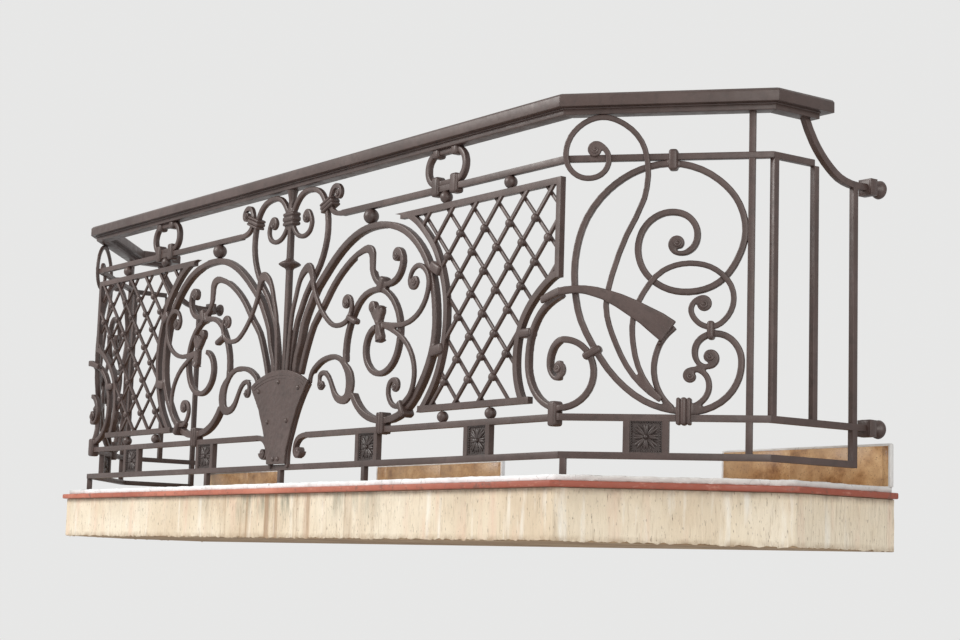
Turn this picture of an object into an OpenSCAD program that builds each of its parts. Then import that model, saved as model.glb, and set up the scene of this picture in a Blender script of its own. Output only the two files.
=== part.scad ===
// Wrought iron balcony: a rendered slab with canted corners and a scrollwork railing.
// X runs along the wall, the balcony reaches out along -Y, and Z is up.
// The origin is the middle of the slab's rear face, which lies on the wall plane Y = 0.

/* [Plan of the railing] */
// Half length of the front rails, along their outer face
front_half = 1394; // [1300:1:1500]
// Half width over the outer faces of the two returns
half_width = 1809; // [1760:1:1880]
// Distance from the wall to the outer face of the front rails
depth = 750; // [700:1:820]
// Distance from the wall to the corner where a return meets its bay
return_depth = 405; // [380:1:430]
// Distance from the wall to the cut end of the returns' bottom rails
wall_gap = 94; // [80:1:110]

/* [Heights over the rail datum] */
// Underside of the bottom rail, which is the room left over the slab's edge strip
bottom_rail_z = 55; // [40:1:65]
// Underside of the lower rail
lower_rail_z = 152; // [140:1:165]
// Underside of the upper rail
upper_rail_z = 825; // [800:1:850]
// Underside of the handrail's lower bar
handrail_z = 947; // [930:1:965]

/* [Iron stock] */
// Thickness of the rails and of the main bars, front to back
stock = 16; // [14:0.5:18]
// Width of the upright bars in the bays and returns
post_w = 16; // [14:0.5:18]
// Thickness of the flat bars that are laid on the front of the main ones
flat_t = 8; // [6:0.5:10]
// Width of the frame bars round the lattices
frame_w = 18; // [16:1:20]
// Thickness of the lattice frames
frame_t = 13; // [11:0.5:14]
// Width of the lattice bars
lattice_w = 11; // [9:0.5:13]
// Pitch of the lattice along the rail
lattice_pitch = 115; // [110:1:120]
// Diameter of the balls at the crossings of the lattice
knot_d = 27; // [24:0.5:30]
// How far a collar stands out round the bars it holds
collar_t = 4; // [3:0.5:5]

/* [Handrail] */
// Width of the handrail's upper, moulded part
cap_w = 70; // [60:1:76]
// Height of the moulded part
cap_h = 35; // [30:1:40]
// Width of the bar under it
sub_w = 48; // [40:1:54]
// Height of the bar under it
sub_h = 18; // [14:1:22]
// Distance from the wall to the end of the moulded part
cap_end_gap = 220; // [200:1:235]
// How much shorter the bar under it is
sub_end_step = 33; // [20:1:45]

/* [Slab] */
// Half length of the slab's front edge
slab_front_half = 1439; // [1350:1:1545]
// Half width of the slab at the wall
slab_half_width = 1848; // [1800:1:1920]
// Reach of the slab from the wall
slab_depth = 799; // [750:1:870]
// Length of the slab's straight sides
slab_side = 356; // [330:1:400]
// Thickness of the rendered slab
slab_t = 136; // [120:1:160]
// How far the flashing hangs over the render
flashing_over = 20; // [14:1:26]
// Thickness of the flashing at its edge
flashing_t = 16; // [12:1:20]
// Thickness of the edge strip and the floor tiles over the flashing
strip_t = 16; // [12:1:20]
// Width of the edge strip round the floor tiles
strip_w = 60; // [40:1:80]
// Height of the skirting tiles over the floor
skirting_h = 108; // [90:1:120]
// Thickness of the skirting tiles
skirting_t = 12; // [9:1:15]

/* [Hidden] */

iron = [0.29, 0.22, 0.20];
render_cream = [0.86, 0.79, 0.69];
terracotta = [0.70, 0.33, 0.25];
grout_white = [0.88, 0.88, 0.87];
tile_tan = [0.71, 0.51, 0.31];

floor_z = slab_t / 2 + flashing_t + strip_t;
// The strip's top lies this much over the datum that the rail heights are taken from
datum_in_floor = 10;
datum = floor_z - datum_in_floor;

bay_run = half_width - front_half;
bay_drop = depth - return_depth;
bay_len = norm([bay_run, bay_drop]);
bay_angle = atan2(bay_drop, bay_run);
front_mitre = tan(bay_angle / 2);
back_mitre = tan((90 - bay_angle) / 2);
return_len = return_depth - wall_gap;

rail_h = stock;
mid = stock / 2;
lower_top = lower_rail_z + rail_h;

// The scrolls are drawn for this front and bay, and follow the real lengths and heights
drawn_front = 1394;
drawn_bay = 540;
function fx(x) = x * front_half / drawn_front;
function bx(u) = u * bay_len / drawn_bay;
function level(z) = lookup(z, [
    [0, 0], [71, bottom_rail_z + rail_h], [152, lower_rail_z], [168, lower_top],
    [825, upper_rail_z], [841, upper_rail_z + rail_h], [947, handrail_z], [1000, handrail_z + 53]
]);
function on_front_at(s) = [for (p = s) concat([fx(p.x), level(p.y)], len(p) > 2 ? [p.z] : [])];
function on_bay_at(s) = [for (p = s) concat([bx(p.x), level(p.y)], len(p) > 2 ? [p.z] : [])];
// Round the corner: x is measured from the corner, along the front below 0 and along the bay over 0
function on_corner_at(s) = [
    for (p = s) concat([p.x < 0 ? fx(p.x) : bx(p.x), level(p.y)], len(p) > 2 ? [p.z] : [])
];

// Smooth bars through a few stations
arc_tol = 0.5;
arc_step = 15;
function unit(v) = v / norm(v);
function flat(p) = [p.x, p.y];
function heading(a, b, c) = let (p = b - a, q = c - b) unit(p / (p * p) + q / (q * q));
function mirrored(t, e) = 2 * (t * e) * e - t;
function headings(s) = let (
    n = len(s),
    inner = [for (i = [1:n - 2]) heading(flat(s[i - 1]), flat(s[i]), flat(s[i + 1]))],
    first = mirrored(inner[0], unit(flat(s[1]) - flat(s[0]))),
    last = mirrored(inner[n - 3], unit(flat(s[n - 1]) - flat(s[n - 2])))
) concat([first], inner, [last]);
function bezier(a, b, c, d, t) =
    pow(1 - t, 3) * a + 3 * pow(1 - t, 2) * t * b + 3 * (1 - t) * t * t * c + pow(t, 3) * d;
function clamp1(v) = max(-1, min(1, v));
function span_steps(chord, turn) =
    turn < 1 ? 1 : ceil(turn / min(arc_step, 2 * acos(1 - arc_tol / max(1, chord / (2 * sin(turn / 2))))));
function span(a, b, ta, tb) = let (
    chord = norm(b - a),
    e = (b - a) / chord,
    ha = 2 / 3 * chord / (1 + max(0, ta * e)),
    hb = 2 / 3 * chord / (1 + max(0, tb * e)),
    n = span_steps(chord, acos(clamp1(ta * tb)))
) [for (i = [0:n - 1]) concat(bezier(a, a + ha * ta, b - hb * tb, b, i / n), [i / n])];
function smooth(t) = t * t * (3 - 2 * t);
// Centre line of a bar as [x, z, width] points; a station may carry its own width
function centre_line(s, w) = let (
    t = headings(s),
    n = len(s),
    width = [for (p = s) len(p) > 2 ? p.z : w],
    body = [for (i = [0:n - 2]) for (q = span(flat(s[i]), flat(s[i + 1]), t[i], t[i + 1]))
        [q.x, q.y, width[i] + (width[i + 1] - width[i]) * smooth(q.z)]]
) concat(body, [[s[n - 1].x, s[n - 1].y, width[n - 1]]]);
function side_normal(c, i) = let (
    n = len(c),
    e = unit(flat(c[min(n - 1, i + 1)]) - flat(c[max(0, i - 1)]))
) [-e.y, e.x];
function outline(c) = concat(
    [for (i = [0:len(c) - 1]) flat(c[i]) + side_normal(c, i) * c[i].z / 2],
    [for (i = [len(c) - 1:-1:0]) flat(c[i]) - side_normal(c, i) * c[i].z / 2]
);
module bar(s, w) polygon(outline(centre_line(s, w)));
// The eye of a volute as [x, z, first radius, last radius, first angle, turn]
curl_step = 50;
function curl(e) = let (n = ceil(abs(e[5]) / curl_step)) [
    for (i = [0:n]) let (r = e[3] + (e[2] - e[3]) * pow(1 - i / n, 2), a = e[4] + e[5] * i / n)
        [e[0] + r * cos(a), e[1] + r * sin(a), curl_w]
];
curl_w = 9;
function backward(s) = [for (i = [len(s) - 1:-1:0]) s[i]];
module eye(p, r) translate([p.x, p.y]) circle(r, $fn = 24);
module eye_disc(p, e) eye(p, e[3] + 3);

// Panel frames: local X runs along the panel, local Y into the balcony, local Z up from the datum
module on_front() translate([0, -depth, datum]) children();
module on_bay() translate([front_half, -depth, datum]) rotate([0, 0, bay_angle]) children();
module on_return() translate([half_width, -return_depth, datum]) rotate([0, 0, 90]) children();
module left() mirror([1, 0, 0]) children();
// Stands a drawing up in the panel, from depth v0 to depth v1 behind the rails' outer face
module upright(v0, v1) rotate([90, 0, 0]) translate([0, 0, -v1]) linear_extrude(v1 - v0) children();

// Plan of a stretch of rail whose ends are mitred by m0 and m1
function stretch(x0, x1, m0, m1, v0, v1) =
    [[x0 + v0 * m0, v0], [x1 - v0 * m1, v0], [x1 - v1 * m1, v1], [x0 + v1 * m0, v1]];
module rail(x0, x1, m0, m1, z, h) translate([0, 0, z]) linear_extrude(h)
    polygon(stretch(x0, x1, m0, m1, 0, stock));

// A collar round bars, w long across the drawing and h high, cut free of the rail that it holds
module collar(p, w, h, tilt = 0, v0 = 0, v1 = stock) translate([p.x, 0, p.y]) rotate([0, -tilt, 0])
    translate([-w / 2, v0 - collar_t, -h / 2]) cube([w, v1 - v0 + 2 * collar_t, h]);
module rail_room(z, h) translate([-3000, 0, z]) cube([6000, stock, h]);

// Slab and floor
function slab_plan(grow) = let (
    run = slab_half_width - slab_front_half,
    drop = slab_depth - slab_side,
    a = atan2(drop, run),
    f = grow * tan(a / 2),
    s = grow * tan((90 - a) / 2)
) [
    [slab_half_width + grow, 0], [-slab_half_width - grow, 0],
    [-slab_half_width - grow, -slab_side - s], [-slab_front_half - f, -slab_depth - grow],
    [slab_front_half + f, -slab_depth - grow], [slab_half_width + grow, -slab_side - s]
];
module slab() color(render_cream) translate([0, 0, -slab_t / 2]) linear_extrude(slab_t) polygon(slab_plan(0));
module flashing() color(terracotta) translate([0, 0, slab_t / 2])
    linear_extrude(flashing_t) polygon(slab_plan(flashing_over));
module edge_strip() color(grout_white) translate([0, 0, slab_t / 2 + flashing_t]) linear_extrude(strip_t)
    difference() {
        polygon(slab_plan(0));
        polygon(slab_plan(-strip_w));
    }
module floor_tiles() color(tile_tan) translate([0, 0, slab_t / 2 + flashing_t])
    linear_extrude(strip_t) polygon(slab_plan(-strip_w));
module skirting() color(tile_tan) {
    for (x = [[-slab_half_width, -1240], [-560, 180], [1140, slab_half_width]])
        translate([x[0], -skirting_t, floor_z]) cube([x[1] - x[0], skirting_t, skirting_h]);
}

// Handrail
module cap_profile() {
    r = 6;
    translate([mid, handrail_z + sub_h]) polygon([
        [-cap_w / 2, 0], [cap_w / 2, 0], [cap_w / 2, cap_h - r], [cap_w / 2 - r, cap_h],
        [-cap_w / 2 + r, cap_h], [-cap_w / 2, cap_h - r]
    ]);
    translate([mid - sub_w / 2, handrail_z]) square([sub_w, sub_h + 1]);
}
module handrail_run(length) rotate([90, 0, 90]) linear_extrude(length) cap_profile();
module handrail_stretch(x0, x1, m0, m1) intersection() {
    translate([x0 - 100, 0, 0]) handrail_run(x1 - x0 + 200);
    translate([0, 0, handrail_z - 50]) linear_extrude(200)
        polygon(stretch(x0, x1, m0, m1, mid - cap_w, mid + cap_w));
}
module handrail_front() color(iron) on_front() handrail_stretch(-front_half, front_half, front_mitre, front_mitre);
module handrail_bay() color(iron) on_bay() handrail_stretch(0, bay_len, front_mitre, back_mitre);
module handrail_return() color(iron) on_return() difference() {
    handrail_stretch(0, return_depth - cap_end_gap, back_mitre, 0);
    translate([return_depth - cap_end_gap - sub_end_step, -100, handrail_z - 1]) cube([200, 300, sub_h + 1]);
}

// Rails
rail_end_x = 310;
volute_eye = [283, 898, 20, 9, 65, -290];
rail_volute = concat([[rail_end_x + 20, 833], [rail_end_x, 833], [280, 836], [256, 846], [241, 868], [240, 896],
    [256, 920], [276, 923]], curl(volute_eye));
module upper_rail_front() color(iron) on_front() union() {
    rail(fx(rail_end_x), front_half, 0, front_mitre, upper_rail_z, rail_h);
    upright(0, curl_t) {
        bar(on_front_at(rail_volute), 13);
        eye_disc(on_front_at([volute_eye])[0], volute_eye);
    }
    difference() {
        collar(on_front_at([[227, 870]])[0], 62, 28, 20);
        upright(0, arm_t) bar(on_front_at(crest_arm), 14);
    }
}
module upper_rail_bay() color(iron) on_bay() rail(0, bay_len, front_mitre, back_mitre, upper_rail_z, rail_h);
swoop_bar_u = 148;
module upper_rail_return() color(iron) on_return() rail(0, swoop_bar_u, back_mitre, 0, upper_rail_z, rail_h);

// Base frames: lower and bottom rail with the short posts of the rosette boxes
rosette_gap = 84;
front_boxes = [494, 1039];
bay_box = 225;
module box_posts(u) for (s = [-1, 1])
    translate([u + s * (rosette_gap + stock) / 2 - stock / 2, 0, bottom_rail_z + rail_h])
        cube([stock, stock, lower_rail_z - bottom_rail_z - rail_h]);
rail_curl = [108, 110, 26, 10, 150, 270];
module base_frame_half() {
    rail(fx(150), front_half, 0, front_mitre, lower_rail_z, rail_h);
    upright(0, stock) {
        bar(on_front_at(concat([[170, 160], [135, 159], [100, 147]], curl(rail_curl))), 13);
        eye_disc(on_front_at([rail_curl])[0], rail_curl);
    }
    for (u = front_boxes) box_posts(fx(u));
}
module base_frame_front() color(iron) on_front() union() {
    rail(-front_half, front_half, front_mitre, front_mitre, bottom_rail_z, rail_h);
    base_frame_half();
    left() base_frame_half();
}
module base_frame_bay() color(iron) on_bay() union() {
    rail(0, bay_len, front_mitre, back_mitre, bottom_rail_z, rail_h);
    rail(0, bay_len, front_mitre, back_mitre, lower_rail_z, rail_h);
    box_posts(bx(bay_box));
}
module base_frame_return() color(iron) on_return() union() {
    rail(0, return_len, back_mitre, 0, bottom_rail_z, rail_h);
    rail(0, return_depth - wall_boss_r, back_mitre, 0, lower_rail_z, rail_h);
    translate([return_len - post_w, 0, bottom_rail_z + rail_h])
        cube([post_w, stock, lower_rail_z - bottom_rail_z - rail_h]);
    wall_fixing(lower_rail_z + mid);
}

// Wall fixing: a square collar on the bar and a domed boss whose flat face meets the wall
wall_boss_r = 22;
collar_h = 42;
collar_len = 24;
module wall_fixing(z) {
    translate([return_depth - 60, mid - collar_h / 2, z - collar_h / 2]) cube([collar_len, collar_h, collar_h]);
    intersection() {
        translate([return_depth, mid, z]) sphere(wall_boss_r, $fn = 48);
        translate([return_depth - 60, mid - 50, z - 50]) cube([60, 100, 100]);
    }
    translate([return_depth - 60, 0, z - mid]) cube([50, stock, stock]);
}

// Rosettes
module rosette() {
    s = rosette_gap - 1;
    translate([-s / 2, 5, bottom_rail_z + rail_h]) cube([s, 4, lower_rail_z - bottom_rail_z - rail_h]);
}
module rosettes() color(iron) {
    for (m = [0, 1]) mirror([m, 0, 0]) {
        for (u = front_boxes) on_front() translate([fx(u), 0, 0]) rosette();
        on_bay() translate([bx(bay_box), 0, 0]) rosette();
    }
}

// Upright bars
bay_post_u = 477;
module bay_posts() color(iron) for (m = [0, 1]) mirror([m, 0, 0]) on_bay() {
    for (z = [[bottom_rail_z + rail_h, lower_rail_z], [lower_top, upper_rail_z],
              [upper_rail_z + rail_h, handrail_z]])
        translate([bx(bay_post_u), 0, z[0]]) cube([post_w, stock, z[1] - z[0]]);
}
module return_bars() color(iron) for (m = [0, 1]) mirror([m, 0, 0]) on_return() {
    for (u = [3, swoop_bar_u])
        translate([u, 0, lower_top]) cube([post_w, stock, upper_rail_z - lower_top]);
    translate([return_len - post_w, 0, lower_top]) cube([post_w, stock, level(798) - mid - lower_top]);
}
module swoop_bar() color(iron) on_return() union() {
    s = [[110, 965], [118, 948], [133, 919], [152, 890], [178, 860], [212, 831], [248, 809], [292, 798], [350, 798]];
    k = (return_depth - 60 - 110) / (350 - 110);
    upright(0, stock) intersection() {
        bar([for (p = s) [110 + (p.x - 110) * k, level(p.y)]], stock);
        square([return_depth, handrail_z]);
    }
    wall_fixing(level(798));
}

// Lattice panels
module lattice_region() polygon([
    [fx(690), level(781)], [fx(1377), level(781)], [fx(1377), level(524)],
    [fx(1290), level(480)], [fx(1225), level(410)], [fx(1200), level(320)], [fx(1215), level(250)],
    [fx(1245), level(208)], [fx(775), level(208)], [fx(830), level(265)], [fx(870), level(350)],
    [fx(884), level(450)], [fx(876), level(540)], [fx(850), level(620)], [fx(800), level(690)]
]);
left_side = [[600, 800], [703, 763], [759, 720], [814, 665], [851, 597], [873, 519], [877, 440], [860, 353],
    [829, 285], [788, 234], [737, 183]];
right_side = [[1420, 540], [1382, 536], [1293, 491], [1221, 411], [1203, 330], [1210, 259], [1239, 201],
    [1262, 180]];
module lattice_frame() upright(1, 1 + frame_t) intersection() {
    translate([fx(618), level(199)]) square([fx(1387) - fx(618), level(790) - level(199)]);
    union() {
        bar(on_front_at(left_side), frame_w);
        bar(on_front_at(right_side), frame_w);
        translate([fx(632), level(772)]) square([fx(1387) - fx(632), 18]);
        translate([fx(1369), level(519)]) square([18, level(790) - level(519)]);
        translate([fx(756), level(199)]) square([fx(1268) - fx(756), 16]);
    }
}
module lattice() color(iron) on_front() union() {
    first = [1053, 691];
    rows = [[0, 941, 4], [1, 884, 5], [2, 941, 4], [3, 994, 3], [4, 941, 3], [5, 994, 2], [6, 941, 3],
        [7, 884, 3]];
    lattice_frame();
    upright(2, frame_t) intersection() {
        lattice_region();
        for (k = [-6:6]) for (a = [45, -45])
            translate([fx(first.x) + k * lattice_pitch, level(first.y)]) rotate(a)
                square([2000, lattice_w], center = true);
    }
    for (r = rows) for (i = [0:r[2] - 1])
        translate([fx(r[1]) + i * lattice_pitch, mid - 1, level(first.y) - r[0] * lattice_pitch / 2])
            rotate([90, 0, 0]) cylinder(d = knot_d, h = frame_t + 3, center = true, $fn = 12);
}

// Oval rings between the handrail and the upper rail
module oval_ring() on_front() union() {
    r = (handrail_z - upper_rail_z - rail_h) / 2;
    z = handrail_z - r;
    w = 15;
    run = 45;
    translate([fx(852), 0, 0]) upright(0, stock) translate([0, z]) {
        for (s = [0, 180]) rotate(s) {
            translate([-run, r - w]) square([2 * run, w]);
            translate([run, 0]) intersection() {
                difference() {
                    circle(r, $fn = 48);
                    circle(r - w, $fn = 48);
                }
                translate([0, -r]) square([r, 2 * r]);
            }
        }
    }
    for (x = [812, 902]) difference() {
        collar([fx(x), upper_rail_z + rail_h], 26, rail_h + 2 * w);
        rail_room(upper_rail_z, rail_h);
    }
}
module oval_rings() color(iron) {
    oval_ring();
    left() oval_ring();
}

// Balls that tie the lattices to the rails and arches
module link_ball(x, z0, z1) translate([fx(x), mid, (z0 + z1) / 2]) intersection() {
    sphere(d = (z1 - z0) + 2, $fn = 32);
    cube([100, 100, z1 - z0], center = true);
}
module link_balls_half() on_front() {
    for (x = [852, 1152]) link_ball(x, level(790), upper_rail_z);
    for (x = [868, 1090]) link_ball(x, lower_top, level(199));
    link_ball(465, level(780), upper_rail_z);
}
module link_balls() color(iron) {
    link_balls_half();
    left() link_balls_half();
}

// Main bars of the middle panel
arch_t = 20;
blade_t = 7;
big_arch = [[63, 356], [72, 410], [89, 448], [105, 507], [139, 564], [178, 616], [206, 640], [255, 680],
    [334, 731], [418, 762], [500, 770], [589, 759], [654, 736], [711, 699], [784, 613], [819, 498], [816, 390],
    [793, 332], [751, 270], [714, 232], [648, 196], [560, 187], [473, 208], [448, 223], [420, 249], [405, 270]];
wave_eye = [229, 309, 19, 9, 130, 200];
wave = concat([[160, 318], [172, 354], [196, 371], [224, 384], [260, 391], [300, 391], [335, 380, 14],
    [366, 355, 22], [385, 331, 34], [391, 305, 39], [386, 278, 34], [375, 263, 28], [345, 257, 22],
    [320, 265, 20], [301, 284, 16], [286, 308], [270, 330], [252, 343], [234, 346], [217, 338]],
    curl(wave_eye));
arch_eye = [617, 666, 21, 9, 60, 280];
inner_arch = concat([[100, 352], [113, 392], [135, 443], [166, 500], [215, 548], [257, 595], [293, 629],
    [345, 665], [388, 687], [430, 700, 16], [462, 704, 22], [484, 693, 27], [490, 665, 23], [491, 640, 20],
    [502, 615, 15], [530, 592], [560, 587], [590, 588], [618, 598], [638, 618], [647, 645], [641, 670]],
    curl(arch_eye));
inner_spiral = [[358, 372], [361, 442], [389, 505], [438, 558], [500, 576], [558, 568], [604, 538], [639, 484],
    [643, 411], [618, 357], [565, 326], [504, 336], [467, 386], [476, 436], [516, 464]];
module on_x(x0, x1) translate([fx(x0), -200]) square([fx(x1) - fx(x0), 1500]);
module arch_scrolls() color(iron) on_front() union() {
    upright(0, arch_t) bar(on_front_at(big_arch), 18);
    upright(0, blade_t) {
        bar(on_front_at(wave), 13);
        bar(on_front_at(inner_arch), 14);
        eye_disc(on_front_at([wave_eye])[0], wave_eye);
        eye_disc(on_front_at([arch_eye])[0], arch_eye);
    }
    // The leaf-like widenings are beaten thin, the rest of these two bars is as deep as the others
    for (r = [[0, 388], [502, 700]]) upright(blade_t, stock) intersection() {
        bar(on_front_at(inner_arch), 14);
        on_x(r[0], r[1]);
    }
    upright(blade_t, stock) intersection() {
        bar(on_front_at(wave), 13);
        translate([fx(100), level(350)]) square([fx(300) - fx(100), 100]);
    }
    upright(0, stock) bar(on_front_at(inner_spiral), 14);
    difference() {
        collar(on_front_at([[568, 178]])[0], 30, 56, 0, 0, arch_t);
        rail_room(lower_rail_z, rail_h);
    }
    difference() {
        collar(on_front_at([[565, 803]])[0], 43, 88, 0, 0, arch_t);
        rail_room(upper_rail_z, rail_h);
    }
    collar(on_front_at([[547, 588]])[0], 22, 40, -20);
    // Ties to the lattice frame
    for (c = [[822, 606, 44, 26, -28], [838, 372, 52, 26, 8]]) difference() {
        collar(on_front_at([c])[0], c[2], c[3], c[4], 0, frame_t);
        lattice_frame();
    }
}
// Flat bars laid over them
hairpin_eye = [366, 548, 24, 10, 50, 270];
right_eye = [726, 577, 30, 12, 135, 290];
lower_eye = [646, 281, 22, 10, 110, -270];
hairpin = concat([[31, 352], [34, 400], [40, 470], [49, 545], [69, 600], [86, 643, 14], [112, 672, 22],
    [143, 681, 28], [161, 660, 22], [170, 625, 14], [184, 595], [204, 565], [230, 534], [262, 506], [294, 488],
    [330, 484], [380, 502], [396, 535]], curl(hairpin_eye));
right_stalk = concat([[560, 470], [614, 461], [704, 463], [759, 491], [792, 540], [794, 585], [772, 612],
    [737, 622]], curl(right_eye));
lower_stalk = concat([[560, 466], [632, 441], [699, 398], [735, 340], [736, 286], [722, 256], [698, 236], [668, 223],
    [640, 225], [618, 243], [609, 268], [615, 290]], curl(lower_eye));
flower = [553, 472];
petals = [[522, 522], [561, 506], [562, 430]];
module petal(tip) bar(on_front_at([
    [flower.x, flower.y, 14], [(flower.x + tip.x) / 2, (flower.y + tip.y) / 2, 24], [tip.x, tip.y, 28]
]), 14);
module flower_stalks() color(iron) on_front() union() {
    upright(-2 * flat_t, 0) for (tip = petals) {
        petal(tip);
        eye(on_front_at([tip])[0], 16);
    }
    upright(-flat_t, 0) {
        bar(on_front_at(hairpin), 12);
        bar(on_front_at(right_stalk), 12);
        bar(on_front_at(lower_stalk), 12);
        for (e = [hairpin_eye, right_eye, lower_eye]) eye_disc(on_front_at([e])[0], e);
    }
    collar(on_front_at([[405, 495]])[0], 48, 14, -22, -flat_t, -collar_t);
}

// Scrolls of the bays
c_top_eye = [298, 608, 27, 10, -80, -350];
c_low_eye = [384, 316, 28, 10, 240, 350];
big_c = concat(backward(curl(c_top_eye)), [[336, 595], [348, 632], [327, 674], [280, 689], [226, 667],
    [196, 608], [209, 542], [259, 496], [330, 482], [403, 505], [452, 568], [470, 635], [454, 707], [402, 770],
    [330, 808], [270, 816], [199, 802], [117, 751], [61, 678], [36, 600], [32, 500], [50, 409], [82, 346],
    [146, 258], [218, 203], [289, 180], [371, 181], [430, 216], [462, 280], [456, 337], [423, 370], [381, 373],
    [347, 341]],
    curl(c_low_eye));
small_eye = [335, 266, 18, 9, 80, 290];
small_scroll = concat([[325, 186], [363, 201], [383, 238], [368, 276]], curl(small_eye));
blade_stay = [[290, 186], [259, 221], [242, 275], [247, 324], [258, 352], [276, 376], [293, 391]];
module bay_scrolls() color(iron) on_bay() union() {
    upright(0, stock) {
        bar(on_bay_at(big_c), 14);
        bar(on_bay_at(small_scroll), 12);
        bar(on_bay_at(blade_stay), 12);
        for (e = [c_top_eye, c_low_eye, small_eye]) eye_disc(on_bay_at([e])[0], e);
    }
    upright(-flat_t, 1) eye(on_bay_at([[256, 350]])[0], 4);
    for (c = [[320, 177, 34, 62], [283, 825, 20, 48]]) difference() {
        collar(on_bay_at([c])[0], c[2], c[3]);
        rail_room(c.y < 500 ? lower_rail_z : upper_rail_z, rail_h);
    }
    difference() {
        collar(on_bay_at([[82, 326]])[0], 46, 15, 28);
        upright(0, stock) bar(on_corner_at(corner_bar), 14);
    }
}
slim_eye = [80, 853, 18, 9, 90, 330];
middle_eye = [368, 449, 19, 11, 130, -330];
slim_s = concat(backward(curl(slim_eye)), [[100, 861], [115, 838], [106, 797], [60, 779], [14, 805], [3, 856],
    [36, 916], [95, 940], [157, 919], [201, 873], [218, 815], [211, 724], [167, 629], [132, 529], [117, 445],
    [145, 346], [191, 266], [261, 205]]);
middle_scroll = concat([[262, 206], [215, 263], [189, 347], [188, 415], [214, 480], [262, 535], [329, 554],
    [399, 536], [442, 479], [429, 418], [388, 391], [348, 408], [336, 440]], curl(middle_eye));
module bay_slim_scrolls() color(iron) on_bay() upright(-flat_t, 0) {
    bar(on_bay_at(slim_s), 11);
    bar(on_bay_at(middle_scroll), 11);
    for (e = [slim_eye, middle_eye]) eye_disc(on_bay_at([e])[0], e);
    // Link to the scroll below
    translate([bx(385), level(383)]) square([13, 26], center = true);
}

// Corner scroll, drawn unrolled round the corner and folded there
corner_eye = [-10, 286, 33, 12, 205, 340];
corner_bar = concat(backward(curl(corner_eye)), [[-47, 322], [-18, 355], [20, 359], [54, 344], [83, 301], [76, 231],
    [41, 195], [-20, 183], [-55, 192], [-103, 222], [-137, 278], [-141, 330], [-125, 393], [-92, 437],
    [-47, 465, 16], [6, 480, 18]]);
blade = [[-70, 466, 16], [-20, 479, 18], [40, 488, 18], [113, 474, 26], [187, 439, 42], [280, 378, 62]];
// The half along the front or the one along the bay; they meet in the rails' mitre
module corner_scroll(bay) color(iron) corner_frame(bay) intersection() {
    union() {
        upright(0, stock) {
            bar(on_corner_at(corner_bar), 14);
            eye_disc(on_corner_at([corner_eye])[0], corner_eye);
        }
        upright(-2 * flat_t, -flat_t) bar(on_corner_at(blade), 16);
        upright(-flat_t, 0) bar(on_corner_at([[-65, 467], [-30, 477], [2, 481]]), 9);
        difference() {
            collar([-26, level(170)], 26, 58);
            rail_room(lower_rail_z, rail_h);
        }
        difference() {
            collar(on_corner_at([[-151, 388]])[0], 44, 18, 0, 0, frame_t);
            translate([-front_half, 0, 0]) lattice_frame();
        }
    }
    linear_extrude(handrail_z)
        polygon(bay ? stretch(0, 500, front_mitre, 0, -50, 50) : stretch(-500, 0, 0, front_mitre, -50, 50));
}
module corner_frame(bay) {
    if (bay) on_bay() children();
    else translate([front_half, -depth, datum]) children();
}

// Crest over the shield plate
arm_t = 13;
curl_t = 10;
curl_eye = [100, 846, 22, 9, 75, 285];
crest_arm = [[10, 855], [30, 896], [67, 926], [125, 932], [178, 915], [207, 881], [222, 838], [226, 790],
    [215, 739], [188, 686], [150, 643], [112, 600], [87, 558], [66, 520], [54, 480], [44, 440], [37, 400],
    [33, 352]];
crest_curl = concat([[12, 842], [28, 815], [45, 799], [68, 790], [100, 791], [124, 806], [131, 830], [122, 852]],
    curl(curl_eye));
module crest() color(iron) on_front() union() {
    translate([-9, 0, level(353)]) cube([18, stock, handrail_z - level(353)]);
    for (m = [0, 1]) mirror([m, 0, 0]) {
        upright(0, arm_t) bar(on_front_at(crest_arm), 14);
        upright(0, curl_t) {
            bar(on_front_at(crest_curl), 12);
            eye_disc(on_front_at([curl_eye])[0], curl_eye);
        }
    }
    translate([0, mid, level(707)]) rotate_extrude($fn = 48) polygon([[0, -16], [34, 0], [0, 16]]);
    collar([0, level(853)], 56, 38);
}

// Shield plate in the middle, in front of the fan of bars
module shield_plate() color(iron) on_front() {
    upright(-flat_t - 8, -flat_t) intersection() {
        translate([0, level(-40)]) circle(level(369) - level(-40), $fn = 96);
        polygon([for (p = [[-55, 72], [55, 72], [60, 112], [85, 180], [120, 250], [175, 323], [120, 420], [-120, 420],
            [-175, 323], [-120, 250], [-85, 180], [-60, 112]]) [p.x, level(p.y)]]);
    }
}

// Feet under the bottom rail
module feet() color(iron) {
    h = bottom_rail_z - datum_in_floor;
    for (u = [-480, 0, 480]) on_front() translate([fx(u) - 8, 0, datum_in_floor]) cube([16, stock, h]);
    for (m = [0, 1]) mirror([m, 0, 0]) on_bay() translate([4, 0, datum_in_floor]) cube([16, stock, h]);
}

slab();
flashing();
edge_strip();
floor_tiles();
skirting();
feet();
handrail_front();
handrail_bay();  // handrail_bay_right
left() handrail_bay();  // handrail_bay_left
handrail_return();  // handrail_return_right
left() handrail_return();  // handrail_return_left
upper_rail_front();  // upper_rail_front_right
left() upper_rail_front();  // upper_rail_front_left
upper_rail_bay();  // upper_rail_bay_right
left() upper_rail_bay();  // upper_rail_bay_left
upper_rail_return();  // upper_rail_return_right
left() upper_rail_return();  // upper_rail_return_left
base_frame_front();
base_frame_bay();  // base_frame_bay_right
left() base_frame_bay();  // base_frame_bay_left
base_frame_return();  // base_frame_return_right
left() base_frame_return();  // base_frame_return_left
rosettes();
bay_posts();
return_bars();
swoop_bar();  // swoop_bar_right
left() swoop_bar();  // swoop_bar_left
lattice();  // lattice_right
left() lattice();  // lattice_left
oval_rings();
link_balls();
arch_scrolls();  // arch_scrolls_right
left() arch_scrolls();  // arch_scrolls_left
flower_stalks();  // flower_stalks_right
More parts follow.
